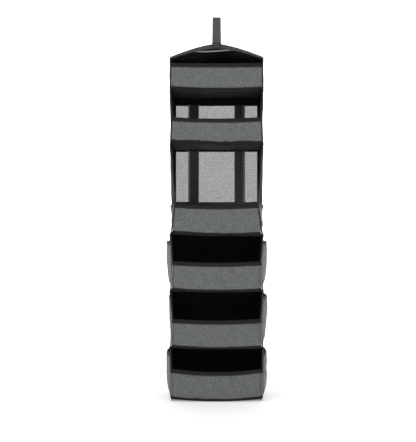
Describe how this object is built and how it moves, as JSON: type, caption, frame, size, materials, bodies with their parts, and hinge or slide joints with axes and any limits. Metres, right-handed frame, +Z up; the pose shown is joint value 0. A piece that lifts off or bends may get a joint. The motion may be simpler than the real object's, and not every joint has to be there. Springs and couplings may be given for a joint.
{
  "type": "hanging luggage organizer",
  "caption": "Hanging travel organizer: a column of collapsible cloth trays with mesh lips under an arched roof, with side pockets and a webbing strap that goes over a suitcase handle.",
  "frame": {"origin": "on the axis of the suitcase handle's grip, inside the hanging strap, midway across its width", "axes": "+X across the organizer, along the grip; -Y out through its open front; +Z up"},
  "size_m": [0.278, 0.217, 1.113],
  "materials": {
    "body_cloth": "woven nylon, matt, black",
    "floor_cloth": "woven nylon, matt, black",
    "grey_mesh": "open knitted mesh, grey",
    "binding": "folded grosgrain tape, dark grey",
    "webbing": "ribbed nylon webbing, dark grey",
    "board": "stiff plastic sheet, grey",
    "hook_and_loop": "hook-and-loop tape, black"
  },
  "bodies": {
    "top": {"roof_cover": "body_cloth", "roof_front_band": "binding", "roof_loop_patch": "hook_and_loop", "strap_anchor": "webbing", "back_straps_1": "webbing", "floor_cover_1": "floor_cloth", "floor_board_1": "board", "edge_band_1": "binding", "lip_mesh_1": "grey_mesh", "lip_binding_1": "binding", "tray_walls_1": "body_cloth", "upper_walls_2": "body_cloth", "back_straps_2": "webbing", "window_mesh_2": "grey_mesh"},
    "strap": {"hanging_strap": "webbing", "strap_hook_patch": "hook_and_loop"},
    "tray_2": {"floor_cover_2": "floor_cloth", "floor_board_2": "board", "edge_band_2": "binding", "lip_mesh_2": "grey_mesh", "lip_binding_2": "binding", "tray_walls_2": "body_cloth", "upper_walls_3": "body_cloth", "back_straps_3": "webbing", "window_mesh_3": "grey_mesh"},
    "tray_3": {"floor_cover_3": "floor_cloth", "floor_board_3": "board", "edge_band_3": "binding", "lip_mesh_3": "grey_mesh", "lip_binding_3": "binding", "tray_walls_3": "body_cloth", "side_pockets_3": "grey_mesh", "upper_walls_4": "body_cloth", "back_straps_4": "webbing"},
    "tray_4": {"floor_cover_4": "floor_cloth", "floor_board_4": "board", "edge_band_4": "binding", "lip_mesh_4": "grey_mesh", "lip_binding_4": "binding", "tray_walls_4": "body_cloth", "side_pockets_4": "grey_mesh", "upper_walls_5": "body_cloth", "back_straps_5": "webbing"},
    "tray_5": {"floor_cover_5": "floor_cloth", "floor_board_5": "board", "edge_band_5": "binding", "lip_mesh_5": "grey_mesh", "lip_binding_5": "binding", "tray_walls_5": "body_cloth", "side_pockets_5": "grey_mesh", "upper_walls_6": "body_cloth", "back_straps_6": "webbing"},
    "tray_6": {"floor_cover_6": "floor_cloth", "floor_board_6": "board", "edge_band_6": "binding", "lip_mesh_6": "grey_mesh", "lip_binding_6": "binding", "tray_walls_6": "body_cloth", "side_pockets_6": "grey_mesh"}
  },
  "joints": [
    {"name": "strap_flip", "type": "hinge", "parent": "top", "child": "strap", "pos_m": [0, -0.008, -0.121], "axis": [-1, 0, 0], "range_deg": [0, 100]},
    {"name": "fold_2", "type": "slide", "parent": "top", "child": "tray_2", "axis": [0, 0, 1], "range_m": [0, 0.075], "deforming": ["upper_walls_2", "back_straps_2", "window_mesh_2"]},
    {"name": "fold_3", "type": "slide", "parent": "tray_2", "child": "tray_3", "axis": [0, 0, 1], "range_m": [0, 0.1615], "deforming": ["upper_walls_3", "back_straps_3", "window_mesh_3"]},
    {"name": "fold_4", "type": "slide", "parent": "tray_3", "child": "tray_4", "axis": [0, 0, 1], "range_m": [0, 0.069], "deforming": ["upper_walls_4", "back_straps_4"]},
    {"name": "fold_5", "type": "slide", "parent": "tray_4", "child": "tray_5", "axis": [0, 0, 1], "range_m": [0, 0.0725], "deforming": ["upper_walls_5", "back_straps_5"]},
    {"name": "fold_6", "type": "slide", "parent": "tray_5", "child": "tray_6", "axis": [0, 0, 1], "range_m": [0, 0.053], "deforming": ["upper_walls_6", "back_straps_6"]}
  ]
}
